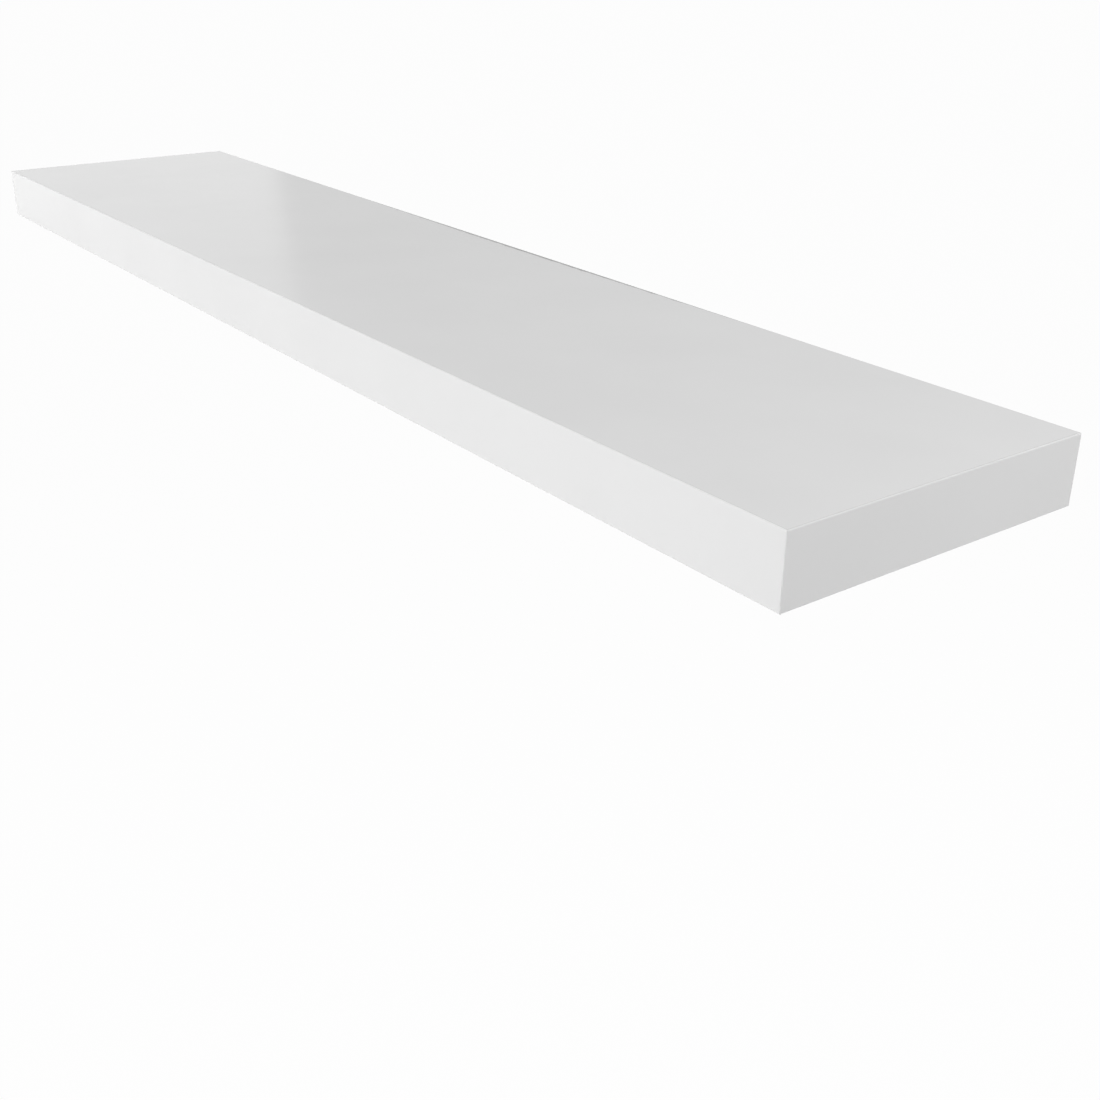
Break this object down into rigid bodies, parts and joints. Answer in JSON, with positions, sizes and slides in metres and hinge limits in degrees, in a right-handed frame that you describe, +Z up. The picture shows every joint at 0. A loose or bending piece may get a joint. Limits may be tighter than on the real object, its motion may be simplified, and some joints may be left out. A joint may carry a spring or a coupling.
{
  "type": "floating wall shelf",
  "caption": "Slab floating wall shelf: a white hollow-core board that slides onto the rods of a concealed steel wall bracket and is locked by screws from below.",
  "frame": {"origin": "on the wall plane, at the middle of the shelf's length and thickness, which is the middle of the wall plate's back face", "axes": "+Z up, +X along the shelf to its right end as seen from the room, +Y into the wall; the board reaches from the wall to negative Y"},
  "size_m": [1.2, 0.25, 0.048],
  "materials": {
    "white_faced_fibreboard": "satin",
    "white_edge_band": "satin",
    "particleboard": "matte",
    "kraft_honeycomb": "matte",
    "zinc_plated_steel": "satin",
    "weld_steel": "satin",
    "insert_brass": "satin",
    "black_oxide_steel": "satin"
  },
  "bodies": {
    "wall_bracket": {"wall_plate": "zinc_plated_steel", "support_rod_1": "zinc_plated_steel", "support_rod_2": "zinc_plated_steel", "support_rod_3": "zinc_plated_steel", "support_rod_4": "zinc_plated_steel", "rod_welds": "weld_steel"},
    "shelf_board": {"top_skin": "white_faced_fibreboard", "bottom_skin": "white_faced_fibreboard", "front_rail": "particleboard", "rear_rail": "particleboard", "left_end_rail": "particleboard", "right_end_rail": "particleboard", "rib_1": "particleboard", "rib_2": "particleboard", "rib_3": "particleboard", "rib_4": "particleboard", "honeycomb_1": "kraft_honeycomb", "honeycomb_2": "kraft_honeycomb", "honeycomb_3": "kraft_honeycomb", "honeycomb_4": "kraft_honeycomb", "honeycomb_5": "kraft_honeycomb", "front_edge_band": "white_edge_band", "left_edge_band": "white_edge_band", "right_edge_band": "white_edge_band", "lock_inserts": "insert_brass"},
    "lock_screw_left": {"lock_screw_left": "black_oxide_steel"},
    "lock_screw_right": {"lock_screw_right": "black_oxide_steel"}
  },
  "joints": [
    {"name": "board_slide", "type": "slide", "parent": "wall_bracket", "child": "shelf_board", "axis": [0, -1, 0], "range_m": [0, 0.17]},
    {"name": "lock_screw_left_travel", "type": "slide", "parent": "shelf_board", "child": "lock_screw_left", "axis": [0, 0, -1], "range_m": [0, 0.008]},
    {"name": "lock_screw_right_travel", "type": "slide", "parent": "shelf_board", "child": "lock_screw_right", "axis": [0, 0, -1], "range_m": [0, 0.008]}
  ]
}
